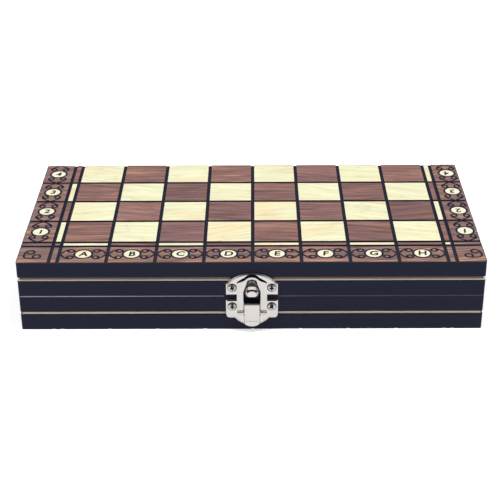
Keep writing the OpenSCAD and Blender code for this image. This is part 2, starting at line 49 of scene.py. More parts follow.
class Graph:
    def __init__(self, tree):
        self.tree = tree
        tree.nodes.clear()

    def add(self, kind, *inputs, settings=None, **named):
        """A new node; inputs come by number, or by name with _ for each blank"""
        node = self.tree.nodes.new(kind)
        for key, value in (settings or {}).items():
            setattr(node, key, value)
        for place, value in [*enumerate(inputs), *named.items()]:
            socket = node.inputs[place if isinstance(place, int) else place.replace("_", " ")]
            if is_socket(value):
                self.tree.links.new(value, socket)
            else:
                socket.default_value = value
        return node

    def math(self, operation, *inputs):
        return self.add("ShaderNodeMath", *inputs, settings={"operation": operation}).outputs[0]

    def less(self, value, limit):
        return self.math("LESS_THAN", value, limit)

    def more(self, value, limit):
        return self.math("GREATER_THAN", value, limit)

    def both(self, one, other):
        """Shares from 0 to 1 multiplied, so that both must hold"""
        return self.math("MULTIPLY", one, other)

    def either(self, one, other):
        """The larger of two shares, so that one is enough"""
        return self.math("MAXIMUM", one, other)

    def between(self, value, low, high, to_low=0.0, to_high=1.0):
        """A slope from to_low at low to to_high at high, level beyond them"""
        return self.add("ShaderNodeMapRange", value, low, high, to_low, to_high).outputs[0]

    def vector(self, operation, *inputs):
        node = self.add("ShaderNodeVectorMath", *inputs, settings={"operation": operation})
        return node.outputs["Value" if operation == "LENGTH" else "Vector"]

    def split(self, vector):
        return self.add("ShaderNodeSeparateXYZ", vector).outputs[:]

    def join(self, x, y, z):
        return self.add("ShaderNodeCombineXYZ", x, y, z).outputs[0]

    def turn(self, vector, axis, angle):
        return self.add(
            "ShaderNodeVectorRotate", vector, (0, 0, 0), axis, angle,
            settings={"rotation_type": "AXIS_ANGLE"},
        ).outputs[0]

    def channels(self, colour):
        return self.add("ShaderNodeSeparateColor", colour).outputs[:]

    def colour(self, red, green, blue):
        return self.add("ShaderNodeCombineColor", red, green, blue).outputs[0]

    def noise(self, place, scale, detail=4.0, roughness=0.55, distortion=0.0):
        return self.add(
            "ShaderNodeTexNoise", place, Scale=scale, Detail=detail, Roughness=roughness,
            Distortion=distortion,
        ).outputs["Fac"]

    def mix(self, share, low, high, blend="MIX"):
        """The colour low where share is 0 and high where it is 1"""
        node = self.add("ShaderNodeMix", settings={"data_type": "RGBA", "blend_type": blend})
        share_input, low_input, high_input = (node.inputs[i] for i in (0, 6, 7))
        for socket, value in ((share_input, share), (low_input, low), (high_input, high)):
            if is_socket(value):
                self.tree.links.new(value, socket)
            elif socket == share_input:
                socket.default_value = value
            else:
                socket.default_value = (*value, 1)
        return node.outputs[2]

    def tinted(self, colour, tone):
        """A colour made lighter or darker by a number"""
        return self.mix(1.0, colour, self.colour(tone, tone, tone), "MULTIPLY")

    def bump(self, height, strength, distance):
        return self.add(
            "ShaderNodeBump", Height=height, Strength=strength, Distance=distance
        ).outputs[0]

    def surface(self, **inputs):
        shader = self.add("ShaderNodeBsdfPrincipled", **inputs)
        self.add("ShaderNodeOutputMaterial", shader.outputs[0])


def new_graph(name):
    material = bpy.data.materials.new(name)
    material.use_nodes = True
    return material, Graph(material.node_tree)


def object_place(graph):
    """Place on the piece as it lies at rest, in millimetres"""
    place = graph.add("ShaderNodeTexCoord").outputs["Object"]
    return graph.vector("MULTIPLY", place, (1 / MM, 1 / MM, 1 / MM))


def scaled(colour, factor):
    return tuple(factor * c for c in colour)


# Board geometry read from the frame
def islands(node):
    """Lowest and highest corner of each separate piece of a CAD node, in millimetres"""
    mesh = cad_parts[node].data
    where = {}
    for vertex in mesh.vertices:
        where.setdefault(tuple(round(c / MM, 3) for c in vertex.co), []).append(vertex.index)
    group = list(range(len(mesh.vertices)))

    def root(i):
        while group[i] != i:
            group[i] = group[group[i]]
            i = group[i]
        return i

    for same in where.values():
        for other in same[1:]:
            group[root(other)] = root(same[0])
    for edge in mesh.edges:
        group[root(edge.vertices[0])] = root(edge.vertices[1])
    boxes = {}
    for vertex in mesh.vertices:
        boxes.setdefault(root(vertex.index), []).append(vertex.co / MM)
    return sorted(
        (tuple(min(c[i] for c in cs) for i in range(3)),
         tuple(max(c[i] for c in cs) for i in range(3)))
        for cs in boxes.values()
    )


def centre(box):
    return Vector(((box[0][0] + box[1][0]) / 2, (box[0][1] + box[1][1]) / 2))


half_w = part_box("upper_front_border")[1].x / MM
half_d = -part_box("upper_front_border")[0].y / MM
top_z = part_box("upper_front_border")[1].z / MM
seam_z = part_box("lower_front_rail")[1].z / MM
disc_boxes = islands("upper_discs")
discs = [centre(box) for box in disc_boxes]
disc_r = disc_boxes[0][1][0] - discs[0].x
letter_y = min(d.y for d in discs)
row_end = letter_y + disc_r
letter_discs = sorted((d for d in discs if d.y < row_end), key=lambda d: d.x)
number_discs = sorted((d for d in discs if d.y > row_end), key=lambda d: (d.x, d.y))
column_pitch = letter_discs[1].x - letter_discs[0].x
row_pitch = number_discs[1].y - number_discs[0].y
board_x = letter_discs[0].x - column_pitch / 2
board_y = number_discs[0].y - row_pitch / 2

# Colours, specular levels, and the depth of fine relief in metres
BLACK = (0.0072, 0.0080, 0.0205)
RAW_WOOD = (0.86, 0.73, 0.62)
# Painted shade and painted shadow in the grooves, then a lighter painted shade for the lower groove
SHADED_WOOD = (0.22, 0.155, 0.125)
GROOVE_SHADOW = (0.11, 0.080, 0.070)
SHADED_PINK_WOOD = (0.50, 0.40, 0.36)
WARM_MAPLE = (0.72, 0.60, 0.36)
# A painted highlight on the rims' chamfers, pale and faint
EDGE_HIGHLIGHT = (0.35, 0.36, 0.42)
FAINT_HIGHLIGHT = (0.085, 0.090, 0.115)
DUST = (0.35, 0.35, 0.4)
FLAT_SPECULAR = 0.25
PAINT_SPECULAR = 0.1
FINE_BUMP = 0.0001

# Widths and depths at the edges of the case, in millimetres
EDGE_R = 1.2
SKIN = 0.04
RIM_SKIN = 0.02
GROOVE_REACH = 1.4
CHAMFER = 0.32
TOP_EDGE = (0.25, 0.45)


# Where a place lies on the case
def on_outer_side(graph, place):
    """1 on the upright outer faces of the case, where everything is painted black"""
    flat = graph.vector("MULTIPLY", graph.vector("ABSOLUTE", place), (1, 1, 0))
    past = graph.vector("MAXIMUM", graph.vector(
        "SUBTRACT", flat, (half_w - EDGE_R, half_d - EDGE_R, 0)), (0, 0, 0))
    return graph.more(graph.vector("LENGTH", past), EDGE_R - SKIN)


def depth_inside(graph, place):
    """How far in from the nearest outer side of the case"""
    flat = graph.vector("MULTIPLY", graph.vector("ABSOLUTE", place), (1, 1, 0))
    across, along, _ = graph.split(graph.vector("SUBTRACT", (half_w, half_d, 0), flat))
    return graph.math("MINIMUM", across, along)


def from_seam(graph, place):
    """How far above or below the plane where the two halves meet"""
    height = graph.split(place)[2]
    return graph.math("ABSOLUTE", graph.math("SUBTRACT", height, seam_z))


def inside_tray(graph, place):
    """1 further in than the grooves reach, except on the rims"""
    off_rim = graph.more(from_seam(graph, place), RIM_SKIN)
    return graph.both(graph.more(depth_inside(graph, place), GROOVE_REACH), off_rim)


def worn_rim(graph, place):
    """1 on the small chamfers where the two halves meet"""
    near_seam = graph.less(from_seam(graph, place), CHAMFER)
    return graph.both(near_seam, graph.less(depth_inside(graph, place), CHAMFER))


def scorched(graph, place, colour):
    """The veneer's colour, black on the case's sides and edges and in the milled lines"""
    in_lines = graph.less(from_seam(graph, place), top_z - seam_z - RIM_SKIN)
    near_edge = graph.between(depth_inside(graph, place), *TOP_EDGE, 1.0, 0.0)
    dark = graph.either(in_lines, near_edge)
    dark = graph.either(dark, on_outer_side(graph, place))
    return graph.mix(dark, colour, BLACK)


# Woods. A grain is cycles per millimetre along and across it, detail, roughness and distortion
DARK_BROAD = (0.018, 0.11, 3, 0.6, 0.8)
DARK_STREAKS = (0.03, 0.65, 6, 0.72, 0.5)
DARK_FIBRES = (0.25, 6.0, 3, 0.5, 0.0)
LIGHT_BROAD = (0.02, 0.12, 3, 0.55, 1.2)
LIGHT_FIBRES = (0.04, 0.7, 5, 0.65, 0.0)
LIGHT_WARP = (0.02, 0.05, 2, 0.5, 0.0)
LIGHT_WARM = (0.03, 0.05, 2, 0.5, 0.0)
# The part of a noise's range that most of it lies in, and nearly all of it
NOISE = (0.3, 0.7)
FULL_NOISE = (0.2, 0.8)
# Squares are cut from a sheet this long, and their cells are this high
SHEET_MM = 900
CELL_HIGH = 1000
# How far a square's grain leans, in radians, and the colour that stands for one whole sheet
DARK_LEAN = 0.22
LIGHT_LEAN = 0.3
DARK_WHOLE = (0.3, 0.7, 0.5)
LIGHT_WHOLE = (0.6, 0.2, 0.5)
# Dark wood: noise where a colour sets in and is full, then what it does to hue and light
BROWN_AT = (0.38, 0.66)
ORANGE_AT = (0.52, 0.76)
ORANGE_WARMTH = (0.3, 1.1)
STREAKS_AT = (0.36, 0.64)
HUE_SHIFT = (-0.3, 0.35)
STREAK_LIGHT = (0.50, 1.47)
FIBRE_LIGHT = (-0.17, 0.17)
CUT_LIGHT = (0.88, 1.12)
DARK_ROUGH = (0.38, 0.52)
FIBRE_RELIEF = 0.7
DARK_BUMP = 0.25
# Light wood in the same way; its year rings are the crests of a warped wave across the grain
CREAM_AT = (0.35, 0.7)
WARM_AT = (0.5, 0.68)
WARM_SHARE = (0.0, 0.8)
RING_WARP = 40.0
RING_WAVE = 0.5
RINGS_AT = (0.86, 1.0)
RING_SHARE = (0.08, 0.42)
FIBRES_AT = (0.34, 0.66)
MAPLE_LIGHT = (0.84, 1.10)
LIGHT_ROUGH = (0.4, 0.55)
LIGHT_BUMP = 0.2
# The border turns warmer between these depths from the front edge, in millimetres
GLOW_DEPTH = (6, 1)


def grain_noise(graph, place, along, across, detail, roughness, distortion):
    stretched = graph.vector("MULTIPLY", place, (along, across, across))
    return graph.noise(stretched, 1.0, detail, roughness, distortion)


def cut_random(graph, place, seed, whole):
    """A random colour for each square of the board, or one colour where the veneer is whole"""
    if seed is None:
        return graph.colour(*whole)
    shifted = graph.vector("SUBTRACT", place, (board_x, board_y, 0))
    cells = graph.vector("FLOOR", graph.vector(
        "DIVIDE", shifted, (column_pitch, row_pitch, CELL_HIGH)))
    return graph.add(
        "ShaderNodeTexWhiteNoise", graph.vector("ADD", cells, (seed, seed, seed)),
        settings={"noise_dimensions": "3D"},
    ).outputs["Color"]


def grain_place(graph, place, random, lean):
    """Each square is cut from another part of the sheet, a little off its grain"""
    moved = graph.vector(
        "ADD", place, graph.vector("MULTIPLY", random, (SHEET_MM, SHEET_MM, SHEET_MM)))
    return graph.turn(
        moved, (0, 0, 1), graph.between(graph.channels(random)[0], 0.0, 1.0, -lean, lean))


def dark_veneer(name, purple, brown, orange, seed=None, board=True, front_glow=0.0):
    """Dark wood: purple to brown in broad fields, with orange streaks in the brown ones"""
    material, graph = new_graph(name)
    place = object_place(graph)
    random = cut_random(graph, place, seed, DARK_WHOLE)
    _, hue, tone = graph.channels(random)
    grain = grain_place(graph, place, random, DARK_LEAN)
    broad = grain_noise(graph, grain, *DARK_BROAD)
    streaks = grain_noise(graph, grain, *DARK_STREAKS)
    fibres = grain_noise(graph, grain, *DARK_FIBRES)
    warmth = graph.math(
        "ADD", graph.between(broad, *BROWN_AT), graph.between(hue, 0, 1, *HUE_SHIFT))
    if front_glow:
        inner, outer = (depth - half_d for depth in GLOW_DEPTH)
        front = graph.between(graph.split(place)[1], inner, outer, 0, front_glow)
        warmth = graph.math("ADD", warmth, front)
    base = graph.mix(graph.between(warmth, 0.0, 1.0), purple, brown)
    glow = graph.both(
        graph.between(streaks, *ORANGE_AT), graph.between(warmth, *ORANGE_WARMTH))
    base = graph.mix(glow, base, orange)
    shade = graph.math(
        "ADD", graph.between(streaks, *STREAKS_AT, *STREAK_LIGHT),
        graph.between(fibres, *NOISE, *FIBRE_LIGHT))
    shade = graph.math("MULTIPLY", shade, graph.between(tone, 0, 1, *CUT_LIGHT))
    shaded = graph.tinted(base, shade)
    relief = graph.math("ADD", streaks, graph.math("MULTIPLY", fibres, FIBRE_RELIEF))
    graph.surface(
        Base_Color=scorched(graph, place, shaded) if board else shaded,
        Roughness=graph.between(fibres, *FULL_NOISE, *DARK_ROUGH),
        Specular_IOR_Level=FLAT_SPECULAR,
        Normal=graph.bump(relief, DARK_BUMP, FINE_BUMP),
    )
    return material


def light_veneer(name, pale, cream, line, seed=None, board=True):
    """Light wood: pale to cream in broad fields, with rings, and warm patches on the board"""
    material, graph = new_graph(name)
    place = object_place(graph)
    random = cut_random(graph, place, seed, LIGHT_WHOLE)
    grain = grain_place(graph, place, random, LIGHT_LEAN)
    broad = grain_noise(graph, grain, *LIGHT_BROAD)
    fibres = grain_noise(graph, grain, *LIGHT_FIBRES)
    warp = grain_noise(graph, grain, *LIGHT_WARP)
    base = graph.mix(graph.between(broad, *CREAM_AT), pale, cream)
    if board:
        warm = grain_noise(graph, grain, *LIGHT_WARM)
        base = graph.mix(graph.between(warm, *WARM_AT, *WARM_SHARE), base, WARM_MAPLE)
    rings = graph.math("SINE", graph.math(
        "ADD", graph.math("MULTIPLY", warp, RING_WARP),
        graph.math("MULTIPLY", graph.split(grain)[1], RING_WAVE)))
    ring = graph.both(
        graph.between(rings, *RINGS_AT), graph.between(broad, *NOISE, *RING_SHARE))
    shaded = graph.tinted(
        graph.mix(ring, base, line), graph.between(fibres, *FIBRES_AT, *MAPLE_LIGHT))
    graph.surface(
        Base_Color=scorched(graph, place, shaded) if board else shaded,
        Roughness=graph.between(fibres, *FULL_NOISE, *LIGHT_ROUGH),
        Specular_IOR_Level=FLAT_SPECULAR,
        Normal=graph.bump(fibres, LIGHT_BUMP, FINE_BUMP),
    )
    return material


# Paint and burnt wood: the grooves with painted shade, the latch's dark surroundings in black for
# paint and painted shadow, and the painted highlight on the rims' chamfers
GROOVE_AT = 9.6
GROOVE_HALF = 1.05
LATCH_REACH = 10.2
SEAM_SHADE_REACH = 14.0
HIGHLIGHT_FADE_X = (-80, 30)
# Heights in a groove, from its middle, where one painted shade turns into the next
SHADED_AT = (-0.75, -0.4)
GROOVE_SHADOW_AT = (-0.1, 0.3)
SHADED_PINK_AT = (0.1, 0.4)
LIP_SHADE_AT = (-0.65, -0.8)
# The paint's grain in cycles per millimetre, then what noise does to paint, bare wood and soot
GRAIN_ALONG_X = (0.03, 1.2, 1.2)
GRAIN_ALONG_Y = (1.2, 0.03, 1.2)
THICK_AT = (0.35, 0.75)
THICK_COAT = 1.35
SPECKS_AT = (0.8, 0.84)
SPECK_SHARE = (0.0, 0.8)
WOOD_SHADE = 0.75
PAINT_ROUGH = (0.42, 0.5)
PAINT_BUMP = 0.2
SOOT_BROWN = (0.022, 0.018, 0.030)
SOOT_ROUGH = 0.6
SOOT_BUMP = 0.3


def groove_height(graph, height):
    """Height above the middle of the nearer groove; the rims count as the upper half"""
    from_rim = graph.math("SUBTRACT", height, seam_z - RIM_SKIN / 2)
    side = graph.math("MULTIPLY", graph.math("SIGN", from_rim), seam_z - GROOVE_AT)
    return graph.math("SUBTRACT", from_rim, side)


def behind_latch(graph, place, reach):
    """1 on the front within reach of the latch's middle, where no light gets in"""
    across, along, _ = graph.split(place)
    near = graph.less(graph.math("ABSOLUTE", across), reach)
    return graph.both(near, graph.less(along, 0.0))


def milled_wood(graph, place, wood):
    """Where the grooves are, and their bare wood, with painted shade under the lips, and black at
    the latch for paint and painted shadow under the plates
    """
    height = graph.split(place)[2]
    above = groove_height(graph, height)
    upper = graph.mix(graph.between(above, *SHADED_AT), wood, SHADED_WOOD)
    upper = graph.mix(graph.between(above, *GROOVE_SHADOW_AT), upper, GROOVE_SHADOW)
    lower = graph.mix(graph.between(above, *SHADED_PINK_AT), wood, SHADED_PINK_WOOD)
    lower = graph.mix(graph.between(above, *LIP_SHADE_AT), lower, BLACK)
    milled = graph.mix(graph.less(height, seam_z), upper, lower)
    in_groove = graph.less(graph.math("ABSOLUTE", above), GROOVE_HALF)
    return in_groove, graph.mix(behind_latch(graph, place, LATCH_REACH), milled, BLACK)


def rubbed_edge(graph, place):
    """The rims' chamfers as a painted highlight, pale at the left and nearly black at the right,
    and black painted shade near the latch
    """
    chamfer_light = graph.mix(graph.between(graph.split(place)[0], *HIGHLIGHT_FADE_X), EDGE_HIGHLIGHT, FAINT_HIGHLIGHT)
    return graph.mix(behind_latch(graph, place, SEAM_SHADE_REACH), chamfer_light, BLACK)


def painted_wood(name, grain, bare=True):
    """Black satin paint; the grooves and the inside of the trays are bare wood"""
    material, graph = new_graph(name)
    place = object_place(graph)
    streaks = graph.noise(graph.vector("MULTIPLY", place, grain), 1.0, 5, 0.6, 0.4)
    colour = graph.mix(graph.between(streaks, *THICK_AT), BLACK, scaled(BLACK, THICK_COAT))
    specks = graph.between(graph.noise(place, 1.4, 2, 0.5), *SPECKS_AT, *SPECK_SHARE)
    colour = graph.mix(specks, colour, DUST)
    if bare:
        wood = graph.mix(graph.between(streaks, *NOISE), RAW_WOOD, scaled(RAW_WOOD, WOOD_SHADE))
        in_groove, milled = milled_wood(graph, place, wood)
        outer = graph.mix(in_groove, colour, milled)
        outer = graph.mix(worn_rim(graph, place), outer, rubbed_edge(graph, place))
        outer = graph.mix(on_outer_side(graph, place), outer, colour)
        colour = graph.mix(inside_tray(graph, place), outer, wood)
    graph.surface(
        Base_Color=colour,
        Roughness=graph.between(streaks, *NOISE, *PAINT_ROUGH),
        Specular_IOR_Level=PAINT_SPECULAR,
        Normal=graph.bump(streaks, PAINT_BUMP, FINE_BUMP),
    )
    return material


def burnt(name):
    material, graph = new_graph(name)
    soot = graph.noise(object_place(graph), 1.5, 3)
    graph.surface(
        Base_Color=graph.mix(soot, BLACK, SOOT_BROWN),
        Roughness=SOOT_ROUGH,
        Specular_IOR_Level=PAINT_SPECULAR,
        Normal=graph.bump(soot, SOOT_BUMP, FINE_BUMP),
    )
    return material


# Latch geometry read from the frame; the four screws fold onto one place
screw_boxes = islands("catch_screws") + islands("base_screws")
latch_x = sum(box[0][0] + box[1][0] for box in screw_boxes) / 2 / len(screw_boxes)
screw_reach = (screw_boxes[1][0][0] + screw_boxes[1][1][0]) / 2 - latch_x
screw_zs = [(box[0][2] + box[1][2]) / 2 for box in screw_boxes]
screw_z = sum(screw_zs) / len(screw_zs)
screw_rise = max(screw_zs) - screw_z

# What the polished latch mirrors, with the colour of its painted shade and painted dark
# reflections, then places in millimetres from its middle, the seam and the front face
METAL_SHADE = (0.020, 0.019, 0.021)
SCREW_SHADE_AT = (2.3, 2.6)
CROSS_HALF = (0.44, 0.56)
CROSS_REACH = 1.2
HEAD_RIM = (1.85, 2.0)
HEAD_TOP = (0.2, 0.9)
LIP_AT = 1.95
LIP_R = 4.2
LIP_EDGE = 0.1
CREASE_IN = 0.65
CREASE_HALF = 0.75
CREASE_OUT = 3.75
CREASE_REACH = 2.5
WINDOW_HALF = 4.7
WINDOW_TOP = 11.1
WINDOW_DEPTH = (2.3, 3.6)
HOOD_OUT = 1.35
GLINT_AT = 4.55
GLINT_R = 3.25
GLINT_FADE = 0.3
HOOD_DARK = 0.92
HOOD_ROUGH = 0.28
SWELL = -0.11
FLANK_AT = 3.97
FLANK_OUT = 3.9
ROOF_LOW = (-3.15, -3.05)
ROOF_HIGH = (-2.65, -2.55)
ROOF_OUT = (3.5, 3.6)
ROOF_DARK = 0.6
# Smudges and scratches in cycles per millimetre, and what they do
SMUDGE_SCALE = 0.35
SMUDGE_SHADE = 0.93
SCRATCH_GRAIN = (0.6, 9, 9)
SCRATCH_BUMP = 0.08


def latch_place(graph, place):
    """Place about the latch: across, height above the seam, depth out from the front face"""
    x, y, z = graph.split(place)
    return (
        graph.math("SUBTRACT", x, latch_x),
        graph.math("SUBTRACT", z, seam_z),
        graph.math("SUBTRACT", graph.math("MULTIPLY", y, -1.0), half_d),
    )


def distance(graph, across, up):
    return graph.vector("LENGTH", graph.join(across, 0.0, up))


def screw_rings(graph, place):
    """Painted shade round each screw's head, on the plates, for the shadowed gap"""
    across, rise, _ = latch_place(graph, place)
    rise = graph.math("SUBTRACT", rise, screw_z - seam_z)
    away = distance(
        graph, graph.math("SUBTRACT", graph.math("ABSOLUTE", across), screw_reach),
        graph.math("SUBTRACT", graph.math("ABSOLUTE", rise), screw_rise))
    return graph.between(away, *SCREW_SHADE_AT, 1.0, 0.0)


def screw_crosses(height, turns):
    """Painted shade in the cross recess and a painted dark reflection on the upper rim of two
    screws, each turned its own way
    """
    def shadows(graph, place):
        across, rise, _ = latch_place(graph, place)
        side = graph.math("SIGN", across)
        across = graph.math("SUBTRACT", across, graph.math("MULTIPLY", side, screw_reach))
        rise = graph.math("SUBTRACT", rise, height - seam_z)
        turn = graph.between(side, -1, 1, *(-math.radians(t) for t in turns))
        turned = graph.turn(graph.join(across, 0.0, rise), (0, -1, 0), turn)
        arm, _, other_arm = graph.split(graph.vector("ABSOLUTE", turned))
        cross = graph.between(graph.math("MINIMUM", arm, other_arm), *CROSS_HALF, 1.0, 0.0)
        away = distance(graph, across, rise)
        cross = graph.both(cross, graph.less(away, CROSS_REACH))
        rim = graph.both(graph.between(rise, *HEAD_TOP), graph.between(away, *HEAD_RIM))
        return graph.either(cross, rim)
    return shadows


def arch_distance(graph, across, rise):
    """Distance from the point that the arched lip of the nose is drawn about"""
    return distance(graph, across, graph.math("SUBTRACT", rise, LIP_AT))


def hood_haze(graph, place):
    """1 on the hood round its glint, where it only mirrors the dim room"""
    across, rise, out = latch_place(graph, place)
    from_glint = distance(graph, across, graph.math("SUBTRACT", rise, GLINT_AT))
    return graph.both(
        graph.more(out, HOOD_OUT), graph.between(from_glint, GLINT_R, GLINT_R + GLINT_FADE))


def hood_swell(graph, place):
    """Height of the hood's roundness from side to side, in millimetres"""
    across, rise, out = latch_place(graph, place)
    hood = graph.both(
        graph.more(out, HOOD_OUT), graph.more(arch_distance(graph, across, rise), LIP_R - LIP_EDGE))
    return graph.math(
        "MULTIPLY", hood, graph.math("MULTIPLY", graph.math("MULTIPLY", across, across), SWELL))


def catch_shadows(graph, place):
    """Painted shade in the crease under the nose's lip, on the plate inside the yoke and round the
    screws, and a painted dark reflection on the hood
    """
    across, rise, out = latch_place(graph, place)
    width = graph.math("ABSOLUTE", across)
    from_crease = graph.math(
        "SUBTRACT", arch_distance(graph, across, rise), LIP_R - CREASE_IN)
    crease = graph.less(graph.math("ABSOLUTE", from_crease), CREASE_HALF)
    crease = graph.both(crease, graph.less(out, CREASE_OUT))
    crease = graph.both(crease, graph.less(width, CREASE_REACH))
    window = graph.both(graph.less(width, WINDOW_HALF), graph.less(rise, WINDOW_TOP))
    deep = graph.both(window, graph.between(out, *WINDOW_DEPTH, 1.0, 0.0))
    hood_shade = graph.math("MULTIPLY", hood_haze(graph, place), HOOD_DARK)
    shadow = graph.either(graph.either(crease, deep), hood_shade)
    return graph.either(shadow, screw_rings(graph, place))


def lever_shadows(graph, place):
    """The lever's flanks, deep between the yoke's legs, and a band along its roof"""
    across, rise, out = latch_place(graph, place)
    flank = graph.both(
        graph.more(graph.math("ABSOLUTE", across), FLANK_AT), graph.less(out, FLANK_OUT))
    band = graph.both(
        graph.between(rise, *ROOF_LOW), graph.between(rise, *ROOF_HIGH, 1.0, 0.0))
    roof = graph.both(band, graph.between(out, *ROOF_OUT, 0.0, ROOF_DARK))
    return graph.either(flank, roof)


def metal(name, tint, smooth, rough, shadows=None, swell=None, haze=None):
    """Polished metal with smudges and fine scratches, and painted shade where shadows are given"""
    material, graph = new_graph(name)
    place = object_place(graph)
    smudge = graph.noise(place, SMUDGE_SCALE, 3)
    scratches = graph.noise(graph.vector("MULTIPLY", place, SCRATCH_GRAIN), 1.0, 2)
    colour = graph.mix(smudge, tint, scaled(tint, SMUDGE_SHADE))
    roughness = graph.between(smudge, *NOISE, smooth, rough)
    normal = graph.bump(scratches, SCRATCH_BUMP, FINE_BUMP / 2)
    if shadows:
        colour = graph.mix(shadows(graph, place), colour, METAL_SHADE)
    if swell:
        normal = graph.add(
            "ShaderNodeBump", Height=swell(graph, place), Distance=MM, Normal=normal).outputs[0]
    if haze:
        extra = graph.math("MULTIPLY", haze(graph, place), HOOD_ROUGH)
        roughness = graph.math("ADD", roughness, extra)
    graph.surface(Base_Color=colour, Metallic=1.0, Roughness=roughness, Normal=normal)
    return material


# Painted and wooden materials
black_x = painted_wood("black_paint_along_x", GRAIN_ALONG_X)
black_y = painted_wood("black_paint_along_y", GRAIN_ALONG_Y)
black_panel = painted_wood("black_panel", GRAIN_ALONG_X, bare=False)
border_wood = dark_veneer(
    "border_wood", (0.135, 0.086, 0.090), (0.240, 0.134, 0.104), (0.46, 0.240, 0.135),
    front_glow=0.9,
)
dark_wood = dark_veneer(
    "dark_wood", (0.168, 0.088, 0.086), (0.222, 0.112, 0.090), (0.38, 0.185, 0.10), seed=5
)
light_wood = light_veneer(
    "light_wood", (0.70, 0.690, 0.472), (0.68, 0.660, 0.420), (0.49, 0.43, 0.32), seed=9
)
disc_wood = light_veneer(
    "disc_wood", (0.74, 0.72, 0.54), (0.72, 0.69, 0.50), (0.60, 0.53, 0.38), seed=12
)
field_wood = light_veneer(
    "field_wood", (0.66, 0.47, 0.27), (0.58, 0.39, 0.21), (0.36, 0.22, 0.12), board=False
)
point_dark = dark_veneer(
    "point_dark", (0.060, 0.032, 0.026), (0.085, 0.045, 0.030), (0.12, 0.06, 0.04), board=False
)
point_red = dark_veneer(
    "point_red", (0.24, 0.07, 0.035), (0.30, 0.09, 0.04), (0.38, 0.13, 0.06), board=False
)
burnt_wood = burnt("burnt_wood")

# Metals: colours, roughness from and to, and how each plate's screws are turned, in degrees
NICKEL = (0.51, 0.487, 0.47)
STEEL = (0.70, 0.70, 0.70)
PLATE_GLOSS = (0.10, 0.20)
SCREW_GLOSS = (0.12, 0.22)
DULL_GLOSS = (0.26, 0.34)
STEEL_GLOSS = (0.22, 0.34)
CATCH_TURNS = (20, 0)
BASE_TURNS = (0, 40)
nickel = metal("nickel", NICKEL, *PLATE_GLOSS)
yoke_nickel = metal("yoke_nickel", NICKEL, *DULL_GLOSS)
catch_nickel = metal(
    "catch_nickel", NICKEL, *PLATE_GLOSS, catch_shadows, hood_swell, hood_haze)
base_nickel = metal("base_nickel", NICKEL, *PLATE_GLOSS, screw_rings)
lever_nickel = metal("lever_nickel", NICKEL, *PLATE_GLOSS, lever_shadows)
catch_screw = metal(
    "catch_screw", NICKEL, *SCREW_GLOSS, screw_crosses(screw_z + screw_rise, CATCH_TURNS))
base_screw = metal(
    "base_screw", NICKEL, *SCREW_GLOSS, screw_crosses(screw_z - screw_rise, BASE_TURNS))
steel = metal("steel", STEEL, *STEEL_GLOSS)


def dress(material, *nodes):
    for name in nodes:
        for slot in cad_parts[name].material_slots:
            slot.material = material


for half in ("lower", "upper"):
    dress(black_panel, f"{half}_board_panel")
    dress(black_x, f"{half}_front_rail", f"{half}_back_rail")
    dress(black_y, f"{half}_left_rail", f"{half}_right_rail")
    dress(border_wood, *[f"{half}_{side}_border" for side in ("front", "left", "right")])
    dress(light_wood, f"{half}_light_veneers")
    dress(dark_wood, f"{half}_dark_veneers")
    dress(disc_wood, f"{half}_discs")
    dress(field_wood, f"{half}_field_veneer")
    dress(point_dark, f"{half}_dark_points")
    dress(point_red, f"{half}_red_points")
    dress(nickel, f"left_hinge_{half}_leaf", f"right_hinge_{half}_leaf")
    dress(steel, f"{half}_hinge_screws")
dress(steel, "left_hinge_pin", "right_hinge_pin", "lever_pin", "yoke_pin")
dress(yoke_nickel, "yoke")
dress(catch_nickel, "catch_plate")
dress(base_nickel, "base_plate")
dress(lever_nickel, "lever")
dress(catch_screw, "catch_screws")
dress(base_screw, "base_screws")


# Burnt lines and coordinates
LINE_W = 1.15
LINE_END = 0.5
PROUD = 0.02
RING_GAP = 0.3
SIDE_SQUEEZE = 0.97
CORNER_OUT = 0.4
LETTER_SIZE = 6.5
NUMBER_SIZE = 6.1
LETTER_WIDTH = 0.98
LETTER_LEAN = 0.10
LETTER_BOLD = 0.2
# A quarter of the ornament round a disc: from the tip over the loop and back onto itself
SCROLL = [
    (11.5, 0.35), (10.9, 1.8), (9.4, 3.6), (7.6, 4.8), (5.9, 4.7), (4.9, 3.5), (5.5, 2.3),
    (6.9, 2.0), (8.0, 2.7), (8.0, 3.8), (7.3, 4.6),
]
# The corner ornament of the left side: its upper loop, its back and its right loop
CORNER = [
    (-3.1, 1.4), (-1.2, 0.2), (0.5, 1.1), (0.5, 3.1), (-1.2, 4.0), (-3.0, 3.1), (-3.8, 1.4),
    (-4.2, -0.8), (-4.0, -2.9), (-2.7, -4.1), (-0.6, -4.4), (1.7, -4.4), (3.5, -4.1), (4.4, -2.5),
    (3.4, -0.9), (1.4, -0.9), (0.5, -2.5), (1.1, -4.0),
]


def face_matrix(half, place, turned=False):
    """From a drawing in millimetres, read upright, to the board face of one half"""
    if half == "upper":
        matrix = Matrix.Translation((place.x * MM, place.y * MM, top_z * MM))
    else:
        matrix = Matrix.Translation((place.x * MM, place.y * MM, 0))
        matrix = matrix @ Matrix.Rotation(math.pi, 4, "X")
    if turned:
        matrix = matrix @ Matrix.Rotation(math.pi, 4, "Z")
    return matrix @ Matrix.Scale(MM, 4)


def curve_through(points, steps=7):
    """A smooth curve through given points"""
    points = [Vector(p) for p in points]
    ends = [points[0] * 2 - points[1], *points, points[-1] * 2 - points[-2]]
    out = []
    for a, b, c, d in zip(ends, ends[1:], ends[2:], ends[3:]):
        for step in range(steps):
            t = step / steps
            out.append(0.5 * (
                2 * b + (c - a) * t + (2 * a - 5 * b + 4 * c - d) * t * t
                + (3 * b - a - 3 * c + d) * t ** 3
            ))
    out.append(points[-1])
    return out


